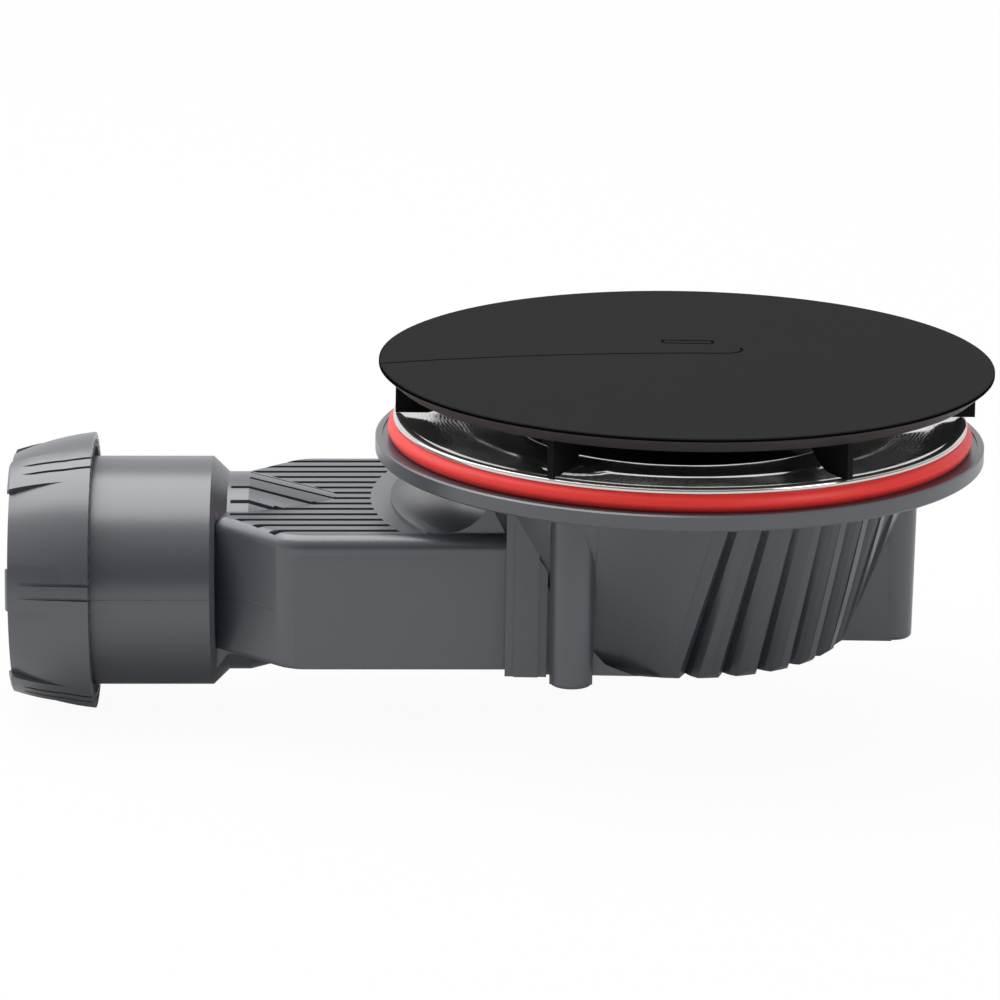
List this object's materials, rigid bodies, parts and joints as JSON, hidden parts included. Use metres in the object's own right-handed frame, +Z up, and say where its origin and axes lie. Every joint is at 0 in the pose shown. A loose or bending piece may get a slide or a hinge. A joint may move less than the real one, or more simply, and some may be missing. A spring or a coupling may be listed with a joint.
{
  "type": "shower trap",
  "caption": "Low shower trap with a round cover on legs over a clamped steel flange, a fluted tapered bowl and a flat ribbed duct that ends in a pipe nut.",
  "frame": {"origin": "on the bowl's axis, at the seal seat on top of the bowl's flange", "axes": "+Z up along the bowl's axis, -X along the outlet, +Y to the side"},
  "size_m": [0.1837, 0.115, 0.0683],
  "materials": {
    "grey_plastic": "satin moulded polypropylene",
    "black_plastic": "fine matt texture",
    "polished_steel": "mirror-polished stainless",
    "red_rubber": "satin moulded rubber",
    "black_rubber": "satin moulded rubber"
  },
  "bodies": {
    "root": {"trap_bowl": "grey_plastic", "outlet_duct": "grey_plastic", "compression_nut": "grey_plastic", "slip_ring": "black_plastic", "pipe_seal": "black_rubber", "tray_seal": "red_rubber", "clamp_flange": "polished_steel", "flange_screws": "polished_steel", "dip_funnel": "black_plastic", "funnel_oring": "black_rubber", "trap_cup": "black_plastic", "cover": "black_plastic"}
  },
  "joints": []
}
